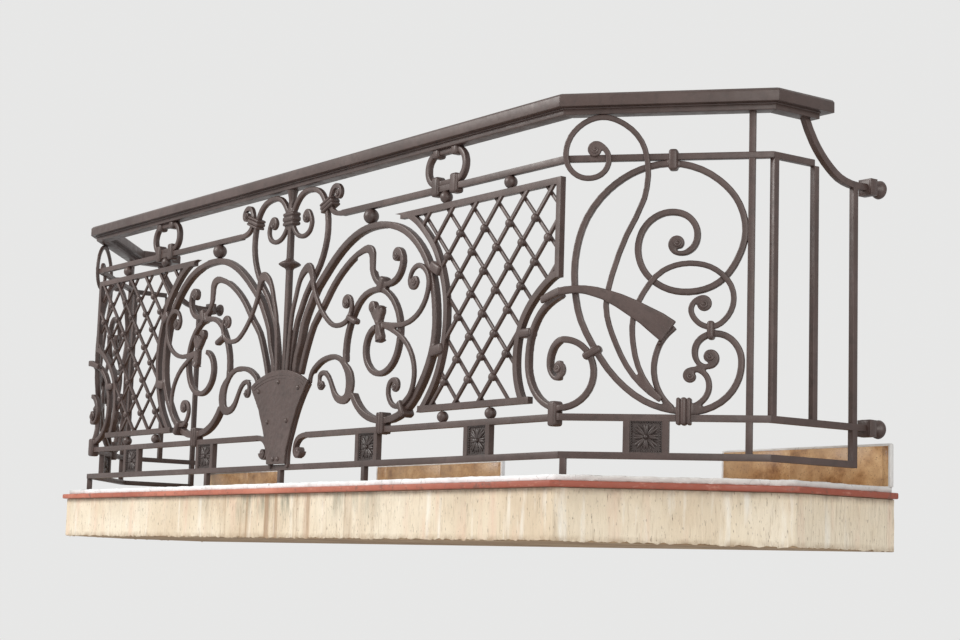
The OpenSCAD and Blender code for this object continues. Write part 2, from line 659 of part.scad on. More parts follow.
left() flower_stalks();  // flower_stalks_left
bay_scrolls();  // bay_scrolls_right
left() bay_scrolls();  // bay_scrolls_left
bay_slim_scrolls();  // bay_slim_scrolls_right
left() bay_slim_scrolls();  // bay_slim_scrolls_left
corner_scroll(false);  // corner_scroll_front_right
corner_scroll(true);  // corner_scroll_bay_right
left() corner_scroll(false);  // corner_scroll_front_left
left() corner_scroll(true);  // corner_scroll_bay_left
crest();
shield_plate();
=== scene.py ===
"""Wrought iron balcony: a scrollwork railing with lattice panels on a rendered slab with canted corners.

X runs along the wall, the balcony reaches out along -Y, Z is up, and the scene is in metres.
Shapes are sized in millimetres, and the ironwork's heights are counted from its datum. Finishes, camera,
lamps and floor are sized in metres.
"""
import math

import bpy
from mathutils import Matrix, Vector


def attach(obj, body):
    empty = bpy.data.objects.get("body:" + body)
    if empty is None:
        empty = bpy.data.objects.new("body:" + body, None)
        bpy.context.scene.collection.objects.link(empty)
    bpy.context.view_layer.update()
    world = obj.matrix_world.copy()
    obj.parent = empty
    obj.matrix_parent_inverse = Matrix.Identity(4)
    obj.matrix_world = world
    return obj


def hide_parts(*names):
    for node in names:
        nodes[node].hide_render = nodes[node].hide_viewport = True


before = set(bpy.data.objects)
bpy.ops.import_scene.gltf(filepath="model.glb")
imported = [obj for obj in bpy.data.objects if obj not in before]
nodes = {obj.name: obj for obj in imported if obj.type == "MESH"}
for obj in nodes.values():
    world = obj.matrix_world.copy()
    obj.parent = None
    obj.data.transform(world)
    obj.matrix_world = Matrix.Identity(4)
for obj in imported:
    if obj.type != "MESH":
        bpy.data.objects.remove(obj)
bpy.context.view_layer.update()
scene = bpy.context.scene

MM = 0.001

# Plan of the railing, as the frame has it
FRONT_HALF, HALF_WIDTH, DEPTH, RETURN_DEPTH = 1394, 1809, 750, 405
DATUM = 90
STOCK = 16
MID = STOCK / 2
BAY_RUN, BAY_DROP = HALF_WIDTH - FRONT_HALF, DEPTH - RETURN_DEPTH
BAY_LEN = math.hypot(BAY_RUN, BAY_DROP)
BAY_ANGLE = math.atan2(BAY_DROP, BAY_RUN)
FRONT_MITRE = math.tan(BAY_ANGLE / 2)
BACK_MITRE = math.tan((math.pi / 2 - BAY_ANGLE) / 2)


def spot(x, y, z):
    """The matrix that moves a piece by x, y and z."""
    return Matrix.Translation((x * MM, y * MM, z * MM))


def rotation(degrees, letter):
    return Matrix.Rotation(math.radians(degrees), 4, letter)


def panel(x, y, angle):
    return spot(x, y, DATUM) @ Matrix.Rotation(angle, 4, "Z")


# Each panel has X along its rails, Y into the balcony and Z up from the rail datum
PANELS = {
    "front": panel(0, -DEPTH, 0),
    "corner": panel(FRONT_HALF, -DEPTH, 0),
    "bay": panel(FRONT_HALF, -DEPTH, BAY_ANGLE),
    "return": panel(HALF_WIDTH, -RETURN_DEPTH, math.pi / 2),
}
MIRROR = Matrix.Diagonal((-1, 1, 1, 1))
# A point and the way out, for cutting off what lies behind the wall plane
WALL = ((0, 0, 0), (0, 1, 0))


# Working by hand
def pick(piece):
    """Makes piece the only selected and active object."""
    bpy.ops.object.select_all(action="DESELECT")
    piece.select_set(True)
    bpy.context.view_layer.objects.active = piece


def edit(piece, kind="VERT"):
    """Opens piece for editing, with all of it selected."""
    pick(piece)
    bpy.ops.object.mode_set(mode="EDIT")
    bpy.ops.mesh.select_mode(type=kind)
    bpy.ops.mesh.select_all(action="SELECT")


def leave():
    bpy.ops.object.mode_set(mode="OBJECT")


def choose(piece, kind, test):
    """Opens piece for editing with only those vertices or faces selected that pass the test."""
    edit(piece, kind)
    bpy.ops.mesh.select_all(action="DESELECT")
    leave()
    for item in {"VERT": piece.data.vertices, "FACE": piece.data.polygons}[kind]:
        item.select = bool(test(item))
    bpy.ops.object.mode_set(mode="EDIT")


def apply_modifier(piece, kind, **settings):
    """Adds a modifier, sets it and applies it."""
    pick(piece)
    modifier = piece.modifiers.new(kind.title(), kind)
    for key, value in settings.items():
        setattr(modifier, key, value)
    bpy.ops.object.modifier_apply(modifier=modifier.name)


def bevel(piece, width, segments, degrees=38):
    """Rounds over the edges that turn by more than an angle."""
    apply_modifier(piece, "BEVEL", width=width * MM, segments=segments, limit_method="ANGLE",
                   angle_limit=math.radians(degrees))


def carve(piece, tool, operation):
    """Unites a piece with another, or cuts it by the other, which is used up."""
    apply_modifier(piece, "BOOLEAN", object=tool, operation=operation, solver="EXACT")
    bpy.data.objects.remove(tool)


def even_skin(piece, square):
    """Rebuilds a closed piece with a skin of small squares."""
    apply_modifier(piece, "REMESH", mode="VOXEL", voxel_size=square * MM)


def lumpy(piece, cloud_size, strength, depth=3, direction="NORMAL", **more):
    """Pushes a fine mesh in and out by a cloud of the given size."""
    cloud = bpy.data.textures.new(piece.name, "CLOUDS")
    cloud.noise_scale = cloud_size * MM
    cloud.noise_depth = depth
    apply_modifier(piece, "DISPLACE", texture=cloud, strength=strength * MM, mid_level=0.5,
                   direction=direction, texture_coords="LOCAL", **more)


def smooth(piece, degrees=40):
    pick(piece)
    bpy.ops.object.shade_smooth_by_angle(angle=math.radians(degrees))


def cut_flat(piece, planes):
    """Cuts off what lies beyond each plane, given by a point and the way out, and closes the cut."""
    for point, way in planes:
        edit(piece)
        bpy.ops.mesh.bisect(plane_co=[c * MM for c in point], plane_no=way, use_fill=True, clear_outer=True)
        leave()


def apply_place(piece):
    pick(piece)
    bpy.ops.object.transform_apply(location=True, rotation=True, scale=True)


def tidy_normals(piece):
    edit(piece)
    bpy.ops.mesh.remove_doubles(threshold=0.02 * MM)
    bpy.ops.mesh.normals_make_consistent(inside=False)
    leave()


def put(piece, matrix):
    """Moves a piece by a matrix and writes its place into its mesh."""
    pick(piece)
    piece.matrix_world = matrix @ piece.matrix_world
    apply_place(piece)
    if matrix.determinant() < 0:
        tidy_normals(piece)
    return piece


def copy_of(piece, name):
    pick(piece)
    bpy.ops.object.duplicate()
    twin = bpy.context.object
    twin.name = name
    return twin


def join(name, pieces):
    bpy.ops.object.select_all(action="DESELECT")
    for piece in pieces:
        piece.select_set(True)
    bpy.context.view_layer.objects.active = pieces[0]
    if len(pieces) > 1:
        bpy.ops.object.join()
    pieces[0].name = name
    return pieces[0]


def cloned(first, name, places):
    """Copies a modelled piece to each of the given matrices, joins the copies and drops the first."""
    pieces = [put(copy_of(first, name), place) for place in places]
    bpy.data.objects.remove(first)
    return join(name, pieces)


def settle(piece, slot, finish, *replaced):
    """Gives a finished piece its material, and lets it ride on the one body."""
    piece.data.materials.clear()
    piece.data.materials.append(finish)
    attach(piece, "root")
    if replaced:
        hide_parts(*replaced)


def both_sides(piece, slot, finish, replaced=None):
    """Settles a piece of the right side and its mirror image on the left."""
    name = piece.name
    twin = put(copy_of(piece, name + "_left"), MIRROR)
    piece.name = name + "_right"
    for one, side in ((piece, "_right"), (twin, "_left")):
        smooth(one)
        settle(one, slot, finish, *([replaced + side] if replaced else []))


# Shapes that are started from one point, block or ball
def chain(name, points):
    """A line of vertices, extruded from point to point."""
    bpy.ops.mesh.primitive_plane_add(size=MM, location=(0, 0, 0))
    piece = bpy.context.object
    piece.name = name
    edit(piece)
    bpy.ops.mesh.merge(type="CENTER")
    bpy.ops.transform.translate(value=points[0])
    for a, b in zip(points, points[1:]):
        bpy.ops.mesh.extrude_region_move(TRANSFORM_OT_translate={"value": Vector(b) - Vector(a)})
    bpy.ops.mesh.select_all(action="SELECT")
    return piece


def prism(name, outline, v0, v1):
    """Stands an outline of (x, z) points up, and draws it out from depth v0 to depth v1."""
    points = [(x * MM, v0 * MM, z * MM) for x, z in outline]
    piece = chain(name, points + points[:1])
    bpy.ops.mesh.remove_doubles(threshold=0.005 * MM)
    bpy.ops.mesh.edge_face_add()
    bpy.ops.mesh.extrude_region_move(TRANSFORM_OT_translate={"value": (0, (v1 - v0) * MM, 0)})
    bpy.ops.mesh.select_all(action="SELECT")
    bpy.ops.mesh.normals_make_consistent(inside=False)
    leave()
    return piece


def turned(name, profile, steps):
    """Spins a profile of (radius, height) points round the Z axis."""
    piece = chain(name, [(r * MM, 0, h * MM) for r, h in profile])
    bpy.ops.mesh.spin(steps=steps, angle=2 * math.pi, center=(0, 0, 0), axis=(0, 0, 1))
    bpy.ops.mesh.select_all(action="SELECT")
    bpy.ops.mesh.remove_doubles(threshold=0.01 * MM)
    bpy.ops.mesh.normals_make_consistent(inside=False)
    leave()
    return piece


def rounded_block(name, size, radius, steps=4):
    """A block with all its edges rounded over."""
    bpy.ops.mesh.primitive_cube_add(size=1, location=(0, 0, 0))
    piece = bpy.context.object
    piece.name = name
    piece.scale = [s * MM for s in size]
    apply_place(piece)
    edit(piece, "EDGE")
    bpy.ops.mesh.bevel(offset=radius * MM, segments=steps, affect="EDGES", clamp_overlap=True)
    leave()
    return piece


def ball(radius, place=(0, 0, 0), scale=(1, 1, 1), segments=12, rings=8):
    bpy.ops.mesh.primitive_uv_sphere_add(segments=segments, ring_count=rings, radius=radius * MM,
                                         location=(0, 0, 0))
    piece = bpy.context.object
    piece.scale = scale
    apply_place(piece)
    return put(piece, spot(*place))


def rectangle(x0, x1, z0, z1):
    return [(x0, z0), (x1, z0), (x1, z1), (x0, z1)]


# Outline of a forged bar through a few stations, as the frame draws its bars
def heading(a, b, c):
    """Way of the curve at b, which leans to the nearer of its neighbours."""
    p, q = b - a, c - b
    return (p / p.length_squared + q / q.length_squared).normalized()


def centre_line(stations, steps):
    """Points on a smooth curve through the stations, with so many steps from one to the next."""
    places = [Vector(s) for s in stations]
    inner = [heading(*places[i - 1:i + 2]) for i in range(1, len(places) - 1)]
    first = (places[1] - places[0]).normalized()
    last = (places[-1] - places[-2]).normalized()
    ways = [2 * inner[0].dot(first) * first - inner[0], *inner, 2 * inner[-1].dot(last) * last - inner[-1]]
    line = []
    for a, b, way_a, way_b in zip(places, places[1:], ways, ways[1:]):
        reach = (b - a).length / 3
        for k in range(steps):
            t = k / steps
            line.append((1 - t) ** 3 * a + 3 * (1 - t) ** 2 * t * (a + reach * way_a)
                        + 3 * (1 - t) * t * t * (b - reach * way_b) + t ** 3 * b)
    return line + [places[-1]]


def bar_outline(stations, width, steps=6):
    line = centre_line(stations, steps)
    left, right = [], []
    for i, point in enumerate(line):
        way = (line[min(i + 1, len(line) - 1)] - line[max(i - 1, 0)]).normalized()
        side = Vector((-way.y, way.x)) * width / 2
        left.append(tuple(point + side))
        right.append(tuple(point - side))
    return left + right[::-1]


# Shader nodes
def feed(tree, value, socket):
    """Links an input to an output, or sets it to a number, a vector or an opaque colour."""
    if hasattr(value, "is_output"):
        tree.links.new(value, socket)
    elif socket.type == "RGBA":
        socket.default_value = (*value, 1.0)
    else:
        socket.default_value = value


def set_inputs(tree, node, **inputs):
    """Feeds the inputs of a node by name, where _ stands for a space."""
    for name, value in inputs.items():
        feed(tree, value, node.inputs[name.replace("_", " ")])
    return node


def add_node(tree, kind, **inputs):
    return set_inputs(tree, tree.nodes.new("ShaderNode" + kind), **inputs)


def new_finish(name, roughness=0.5):
    """A material, its node tree and shader, and the object coordinates to paint by."""
    material = bpy.data.materials.new(name)
    material.use_nodes = True
    tree = material.node_tree
    shader = set_inputs(tree, tree.nodes["Principled BSDF"], Roughness=roughness)
    return material, tree, shader, add_node(tree, "TexCoord").outputs["Object"]


def stretched(tree, at, height, shift=(0, 0, 0)):
    """Coordinates squeezed or drawn out in height, for grooves, streaks and courses."""
    return add_node(tree, "Mapping", Vector=at, Scale=(1, 1, height), Location=shift).outputs["Vector"]


def noise(tree, at, scale, detail=4.0, roughness=0.6):
    return add_node(tree, "TexNoise", Vector=at, Scale=scale, Detail=detail,
                    Roughness=roughness).outputs["Fac"]


def ramp(tree, fac, stops):
    """Turns a value into a colour, or into a grey where a stop gives one number."""
    node = add_node(tree, "ValToRGB", Fac=fac)
    while len(node.color_ramp.elements) < len(stops):
        node.color_ramp.elements.new(0.5)
    for element, (position, colour) in zip(node.color_ramp.elements, stops):
        element.position = position
        element.color = (*colour, 1.0) if isinstance(colour, tuple) else (colour, colour, colour, 1.0)
    return node.outputs["Color"]


# Places of the colour sockets among those of the mix node
MIX_FACTOR, MIX_FIRST, MIX_SECOND, MIX_RESULT = 0, 6, 7, 2


def mix(tree, fac, first, second):
    node = tree.nodes.new("ShaderNodeMix")
    node.data_type = "RGBA"
    for value, place in ((fac, MIX_FACTOR), (first, MIX_FIRST), (second, MIX_SECOND)):
        feed(tree, value, node.inputs[place])
    return node.outputs[MIX_RESULT]


def veil(tree, colour, second, fac, stops):
    """Lays a second colour over the first, as thickly as the ramp of a value says."""
    return mix(tree, ramp(tree, fac, stops), colour, second)


def maths(tree, kind, a, b):
    node = tree.nodes.new("ShaderNodeMath")
    node.operation = kind
    feed(tree, a, node.inputs[0])
    feed(tree, b, node.inputs[1])
    return node.outputs[0]


def axis(tree, at, letter):
    return add_node(tree, "SeparateXYZ", Vector=at).outputs[letter]


def between(tree, value, low, high):
    """0 below low, 1 over high, and even in between."""
    return add_node(tree, "MapRange", Value=value, From_Min=low, From_Max=high).outputs["Result"]


def bump(tree, shader, height, strength, distance, under=None):
    """Raises the surface by a height, over an earlier bump where one is given."""
    node = add_node(tree, "Bump", Strength=strength, Distance=distance, Height=height)
    if under is not None:
        feed(tree, under, node.inputs["Normal"])
    feed(tree, node.outputs["Normal"], shader.inputs["Normal"])
    return node.outputs["Normal"]


# Finishes
def painted_iron(name, dark=1.0):
    """Satin brown paint, with a little bloom in broad patches and the hammer marks under it."""
    material, tree, shader, at = new_finish(name)

    # dark below 1 darkens all the colours, which gives a copy of the paint in painted shade
    def brown(*colour):
        return tuple(dark * c for c in colour)

    colour = ramp(tree, noise(tree, at, 5.0, 4.0, 0.55), [
        (0.30, brown(0.046, 0.026, 0.021)), (0.52, brown(0.064, 0.038, 0.032)),
        (0.72, brown(0.086, 0.056, 0.049))])
    colour = veil(tree, colour, brown(0.150, 0.112, 0.102), noise(tree, at, 420.0, 2.0, 0.5),
                  [(0.66, 0.0), (0.74, 0.55)])
    colour = veil(tree, colour, brown(0.036, 0.022, 0.018), noise(tree, at, 38.0, 5.0, 0.65),
                  [(0.36, 0.50), (0.50, 0.0)])
    rough = ramp(tree, noise(tree, at, 26.0), [(0.30, 0.36), (0.70, 0.52)])
    set_inputs(tree, shader, Base_Color=colour, Roughness=rough, Specular_IOR_Level=0.55)
    hammer = add_node(tree, "TexVoronoi", Vector=at, Scale=62.0)
    hammer.feature = "SMOOTH_F1"
    marks = bump(tree, shader, hammer.outputs["Distance"], 0.16, 0.0022)
    bump(tree, shader, noise(tree, at, 260.0, 3.0, 0.6), 0.16, 0.0006, marks)
    return material


def scratched_render():
    """Cream render combed downwards, with mould under the flashing and brown along its drip edge."""
    material, tree, shader, at = new_finish("cream_scratched_render", 0.93)
    colour = ramp(tree, noise(tree, at, 3.1, 3.0), [
        (0.32, (0.64, 0.52, 0.38)), (0.50, (0.73, 0.62, 0.47)), (0.70, (0.79, 0.70, 0.56))])
    combed = noise(tree, stretched(tree, at, 0.10), 150.0, 5.0, 0.62)
    # The grooves are coloured darker where the bump sinks them: painted shade in the grooves
    colour = veil(tree, colour, (0.44, 0.34, 0.24), combed, [(0.32, 0.50), (0.45, 0.0)])
    pitted = noise(tree, stretched(tree, at, 0.26, (2, 4, 1)), 235.0, 3.0, 0.55)
    colour = veil(tree, colour, (0.25, 0.19, 0.14), pitted, [(0.30, 0.80), (0.37, 0.0)])
    ruddy = noise(tree, stretched(tree, at, 0.12, (3, 1, 0)), 17.0)
    colour = veil(tree, colour, (0.72, 0.50, 0.38), ruddy, [(0.55, 0.0), (0.72, 0.55)])
    pale = noise(tree, stretched(tree, at, 0.10, (7, 5, 0)), 26.0)
    colour = veil(tree, colour, (0.88, 0.84, 0.76), pale, [(0.56, 0.0), (0.70, 0.65)])
    # Mould hangs from the flashing, most of it near the middle of the front
    height, x = axis(tree, at, "Z"), axis(tree, at, "X")
    drip = noise(tree, stretched(tree, at, 0.22, (1, 9, 0)), 13.0, 5.0, 0.7)
    middle = maths(tree, "MULTIPLY", between(tree, x, 0.80, 0.15), between(tree, x, -0.45, 0.0))
    hang = maths(tree, "MULTIPLY", between(tree, height, -0.03, 0.062), maths(tree, "ADD", middle, 0.14))
    mould = maths(tree, "MULTIPLY", ramp(tree, drip, [(0.44, 0.0), (0.62, 1.0)]), hang)
    colour = mix(tree, mould, colour, (0.17, 0.18, 0.14))
    # Painted shade in the angle under the flashing, brown along the drip edge, and brown streaks below the
    # mould
    # This band darkens the render as painted shade under the flashing's overhang
    angle = maths(tree, "MULTIPLY", between(tree, height, 0.048, 0.068),
                  ramp(tree, noise(tree, at, 21.0, 5.0, 0.7), [(0.34, 0.2), (0.64, 0.9)]))
    colour = mix(tree, angle, colour, (0.24, 0.19, 0.14))
    foot = maths(tree, "MULTIPLY", between(tree, height, -0.050, -0.070),
                 ramp(tree, noise(tree, at, 30.0, 5.0, 0.7), [(0.38, 0.15), (0.62, 0.95)]))
    colour = mix(tree, foot, colour, (0.34, 0.24, 0.15))
    streaks = noise(tree, stretched(tree, at, 0.05, (5, 2, 0)), 24.0, 3.0, 0.6)
    brown = maths(tree, "MULTIPLY", ramp(tree, streaks, [(0.50, 0.0), (0.64, 0.8)]), middle)
    colour = mix(tree, brown, colour, (0.36, 0.23, 0.14))
    set_inputs(tree, shader, Base_Color=colour, Specular_IOR_Level=0.2)
    soft = bump(tree, shader, noise(tree, at, 90.0, 5.0, 0.65), 0.35, 0.003)
    bump(tree, shader, combed, 0.75, 0.006, soft)
    return material


def painted_flashing():
    """Terracotta paint, deeper towards the right, chalky in places and dirty in others."""
    material, tree, shader, at = new_finish("terracotta_flashing")
    colour = ramp(tree, noise(tree, at, 4.0), [
        (0.32, (0.33, 0.085, 0.048)), (0.52, (0.42, 0.125, 0.075)), (0.70, (0.52, 0.185, 0.120))])
    colour = mix(tree, between(tree, axis(tree, at, "X"), 0.2, 1.6), colour, (0.27, 0.062, 0.034))
    chalk = noise(tree, stretched(tree, at, 3), 34.0, 5.0, 0.65)
    colour = veil(tree, colour, (0.62, 0.33, 0.25), chalk, [(0.58, 0.0), (0.74, 0.45)])
    dirt = noise(tree, at, 46.0, 6.0, 0.7)
    colour = veil(tree, colour, (0.13, 0.055, 0.036), dirt, [(0.34, 0.8), (0.44, 0.0)])
    rough = ramp(tree, noise(tree, at, 30.0), [(0.3, 0.42), (0.7, 0.72)])
    set_inputs(tree, shader, Base_Color=colour, Roughness=rough)
    bump(tree, shader, noise(tree, at, 55.0), 0.25, 0.002)
    return material


def mortar():
    """White cement, clean along the front, greyer round the right corner and near black towards the far
    left.
    """
    material, tree, shader, at = new_finish("white_mortar", 0.92)
    colour = ramp(tree, noise(tree, at, 14.0, 5.0, 0.6), [
        (0.30, (0.62, 0.61, 0.60)), (0.45, (0.80, 0.80, 0.80)), (0.70, (0.90, 0.90, 0.90))])
    x = axis(tree, at, "X")
    grey = maths(tree, "MULTIPLY", between(tree, x, 1.42, 1.50), 0.55)
    colour = mix(tree, grey, colour, (0.46, 0.42, 0.37))
    black = maths(tree, "MULTIPLY", between(tree, x, -1.30, -1.52), 0.85)
    colour = mix(tree, black, colour, (0.19, 0.17, 0.15))
    wobble = mix(tree, 0.06, at, noise(tree, at, 20.0, 3.0))
    cracks = add_node(tree, "TexVoronoi", Vector=wobble, Scale=13.0)
    cracks.feature = "DISTANCE_TO_EDGE"
    few = ramp(tree, noise(tree, at, 4.0, 2.0), [(0.50, 0.0), (0.58, 1.0)])
    line = ramp(tree, cracks.outputs["Distance"], [(0.0, 0.8), (0.010, 0.0)])
    colour = mix(tree, maths(tree, "MULTIPLY", line, few), colour, (0.16, 0.15, 0.14))
    specks = noise(tree, at, 95.0, 4.0, 0.7)
    colour = veil(tree, colour, (0.36, 0.35, 0.34), specks, [(0.30, 0.8), (0.38, 0.0)])
    set_inputs(tree, shader, Base_Color=colour)
    bump(tree, shader, noise(tree, at, 70.0, 5.0, 0.65), 0.5, 0.003)
    return material


def glazed_tile():
    """Blotched tan stoneware under a thin glaze."""
    material, tree, shader, at = new_finish("tan_stoneware_tile")
    blotch = noise(tree, at, 22.0, 6.0, 0.68)
    colour = ramp(tree, blotch, [(0.30, (0.20, 0.085, 0.030)), (0.45, (0.40, 0.21, 0.085)),
                                 (0.58, (0.52, 0.31, 0.145)), (0.74, (0.66, 0.46, 0.26))])
    cloud = noise(tree, at, 6.5, 3.0)
    colour = veil(tree, colour, (0.60, 0.40, 0.22), cloud, [(0.40, 0.0), (0.66, 0.5)])
    grit = noise(tree, at, 240.0, 3.0, 0.6)
    colour = veil(tree, colour, (0.12, 0.055, 0.025), grit, [(0.33, 0.75), (0.40, 0.0)])
    rough = ramp(tree, blotch, [(0.3, 0.30), (0.7, 0.50)])
    set_inputs(tree, shader, Base_Color=colour, Roughness=rough)
    bump(tree, shader, noise(tree, at, 45.0), 0.15, 0.0015)
    return material


def shaded_underside():
    """Concrete under the slab, in a dark brown that is painted shade, as the underside lies in shadow."""
    material, tree, shader, at = new_finish("shaded_underside", 0.95)
    colour = ramp(tree, noise(tree, at, 5.0, 6.0, 0.65), [
        (0.30, (0.20, 0.125, 0.068)), (0.50, (0.33, 0.22, 0.13)), (0.72, (0.46, 0.34, 0.22))])
    set_inputs(tree, shader, Base_Color=colour)
    bump(tree, shader, noise(tree, at, 90.0, 5.0, 0.65), 0.5, 0.003)
    return material


iron = painted_iron("brown_paint_on_iron")
# A darker copy of the paint, as painted shade for the rosettes in their recessed boxes
iron_in_painted_shade = painted_iron("brown_paint_painted_shade", 0.55)
render_coat = scratched_render()
underside_in_painted_shade = shaded_underside()
terracotta = painted_flashing()
white_mortar = mortar()
tile = glazed_tile()


# Copies of the frame's nodes
def clean_copy(name, suffix, merges=(0.03,), whole=True):
    """Copies a frame node, merges its doubled vertices and turns its loose triangles into whole faces."""
    piece = copy_of(nodes[name], name + suffix)
    edit(piece)
    for distance in merges:
        bpy.ops.mesh.remove_doubles(threshold=distance * MM)
    if whole:
        bpy.ops.mesh.dissolve_limited(angle_limit=math.radians(0.6))
    leave()
    return piece


# Vertices move along their corners, so faces grow by less than a move, and moves are raised by this
CORNER_GAIN = 1.35


def forged_copy(name, grow, edge, segments=3):
    """Copies a frame node, grows it to the photograph's thickness and rounds its edges over."""
    # Bevels need short edges merged away, in two steps from fine to coarse
    piece = clean_copy(name, "_forged", (0.03, 0.3) if edge else (0.03,), edge > 0)
    if grow:
        edit(piece)
        bpy.ops.transform.shrink_fatten(value=grow * CORNER_GAIN * MM)
        leave()
        if max(v.co.y for v in nodes[name].data.vertices) > -0.5 * MM:
            cut_flat(piece, [WALL])
    if edge:
        bevel(piece, edge, segments)
    smooth(piece)
    return piece


def round_over(piece, square, passes):
    """Turns square bars into bars rounded by the hammer, with small fillets where they are welded."""
    even_skin(piece, square)
    apply_modifier(piece, "SMOOTH", factor=0.5, iterations=passes)
    pick(piece)
    bpy.ops.object.shade_smooth()


# Node name, growth and edge radius
FORGED = {
    "feet": (0.5, 1.5), "upper_rail_front": (0.9, 2.2), "upper_rail_bay": (0.9, 2.0),
    "upper_rail_return": (0.9, 2.0), "base_frame_front": (0.9, 2.0), "base_frame_bay": (0.9, 2.0),
    "base_frame_return": (0.9, 2.2), "bay_posts": (0.9, 2.0), "return_bars": (0.9, 2.0),
    "swoop_bar": (0.9, 2.4), "link_balls": (0.0, 1.0),
}
# Node name, growth, size of the skin's squares and passes of rounding
ROUNDED = {
    "arch_scrolls": (1.7, 2.4, 12), "flower_stalks": (1.7, 2.2, 9), "bay_scrolls": (1.6, 2.3, 14),
    "bay_slim_scrolls": (1.9, 2.1, 10), "corner_scroll_front": (1.5, 2.2, 12),
    "corner_scroll_bay": (1.5, 2.2, 12), "crest": (1.7, 2.3, 10), "oval_rings": (1.6, 2.2, 14),
}
# Crown of the big arches: the frame's square collar is cut out of the copies, and the bare bar runs on
CROWN = [(334, 731), (418, 762), (500, 770), (589, 759), (654, 736)]
CROWN_WIDTH, CROWN_FROM, CROWN_TO = 19.8, 531, 599
CROWN_COLLAR = rectangle(540, 590, 750, 855)


def bare_crown(scrolls, flip):
    """Swaps the collar at the crown of one big arch for a stretch of bare bar."""
    carve(scrolls, put(prism("hole", CROWN_COLLAR, -10, 30), flip @ PANELS["front"]), "DIFFERENCE")
    crown = prism("crown", bar_outline(CROWN, CROWN_WIDTH), -1, 21)
    cut_flat(crown, [((CROWN_FROM, 0, 0), (-1, 0, 0)), ((CROWN_TO, 0, 0), (1, 0, 0))])
    return join(scrolls.name, [scrolls, put(crown, flip @ PANELS["front"])])


def named(stem):
    return [n for n in (stem, stem + "_right", stem + "_left") if n in nodes]


for stem, (grow, edge) in FORGED.items():
    for name in named(stem):
        settle(forged_copy(name, grow, edge), "iron", iron, name)
for stem, (grow, square, passes) in ROUNDED.items():
    for name in named(stem):
        bars = forged_copy(name, grow, 0)
        if stem == "arch_scrolls":
            bars = bare_crown(bars, MIRROR if name.endswith("_left") else Matrix.Identity(4))
        round_over(bars, square, passes)
        settle(bars, "iron", iron, name)

# Handrail: a moulded cap over a fillet and a narrower bar, in stretches that meet in mitres
CAP_HALF, CAP_LOW, CAP_TOP, CHAMFER = 41, 965, 1000, 7
FILLET_HALF, FILLET_LOW, FILLET_TOP = 24, 961, 966
BAR_HALF, BAR_LOW, BAR_TOP = 20.5, 947, 962
# The returns' cap ends short of the wall, and the bar under it ends shorter still
CAP_TO_WALL, CAP_OVER_BAR = 220, 33


def mitred_run(name, section, x0, x1, m0, m1):
    """Runs a section of (depth, height) points from x0 to x1 and cuts both ends to their mitres."""
    spare = 60
    piece = put(prism(name, section, -x1 - spare, -x0 + spare), rotation(90, "Z"))
    cut_flat(piece, [((x0, 0, 0), (-1, m0, 0)), ((x1, 0, 0), (1, m1, 0))])
    bevel(piece, 1.6, 3, 30)
    tidy_normals(piece)
    return piece


def handrail(stem, panel_name, x0, x1, m0, m1, step=0):
    """One stretch of handrail, with its fillet and bar ending short of the cap by step."""
    flat = CAP_HALF - CHAMFER
    cap = [(MID - CAP_HALF, CAP_LOW), (MID + CAP_HALF, CAP_LOW), (MID + CAP_HALF, CAP_TOP - CHAMFER),
           (MID + flat, CAP_TOP), (MID - flat, CAP_TOP), (MID - CAP_HALF, CAP_TOP - CHAMFER)]
    fillet = rectangle(MID - FILLET_HALF, MID + FILLET_HALF, FILLET_LOW, FILLET_TOP)
    bar = rectangle(MID - BAR_HALF, MID + BAR_HALF, BAR_LOW, BAR_TOP)
    runs = [mitred_run("cap", cap, x0, x1, m0, m1), mitred_run("fillet", fillet, x0, x1 - step, m0, m1),
            mitred_run("bar", bar, x0, x1 - step, m0, m1)]
    return put(join(stem, runs), PANELS[panel_name])


front_rail = handrail("handrail_front_moulded", "front", -FRONT_HALF, FRONT_HALF, FRONT_MITRE, FRONT_MITRE)
smooth(front_rail)
settle(front_rail, "iron", iron, "handrail_front")
both_sides(handrail("handrail_bay_moulded", "bay", 0, BAY_LEN, FRONT_MITRE, BACK_MITRE), "iron", iron,
           "handrail_bay")
both_sides(handrail("handrail_return_moulded", "return", 0, RETURN_DEPTH - CAP_TO_WALL, BACK_MITRE, 0,
                    CAP_OVER_BAR), "iron", iron, "handrail_return")

# Lattice panels: bars in two layers, held by a frame, with a domed stud over every crossing
FRAME_END_X, FRAME_STEP_Z, FRAME_TOP_Z, FRAME_LOW_Z, FRAME_W, FRAME_DEPTH = 1378, 524, 790, 201, 18, 17
LEFT_SIDE = [(600, 800), (703, 763), (759, 720), (812, 663), (847, 595), (870, 518), (873, 440), (857, 354),
             (828, 285), (789, 233), (739, 181)]
RIGHT_SIDE = [(1420, 541), (1381, 538), (1291, 493), (1219, 412), (1200, 330), (1208, 259), (1238, 201),
              (1262, 180)]
# Open field inside the frame
FIELD = [(700, 781), (1369, 781), (1369, 527), (1290, 494), (1219, 412), (1200, 330), (1208, 259),
         (1234, 210), (772, 210), (828, 285), (857, 354), (873, 440), (870, 518), (847, 595), (812, 663),
         (759, 720)]
# First crossing, then each row's shift in half steps and its number of crossings
FIRST_KNOT = (930, 695)
KNOT_ROWS = [(0, 4), (-1, 5), (0, 4), (1, 3), (0, 3), (1, 2), (0, 3), (-1, 3)]
KNOT_STEP, KNOT_RISE = 113, 118
STUD_SHIFT = (1, -2)
# Bars of one layer, counted from the first crossing, and half their width and length before they are cut
LAYER_BARS, LAYER_BAR_HALF, LAYER_REACH = range(-5, 6), 5, 900


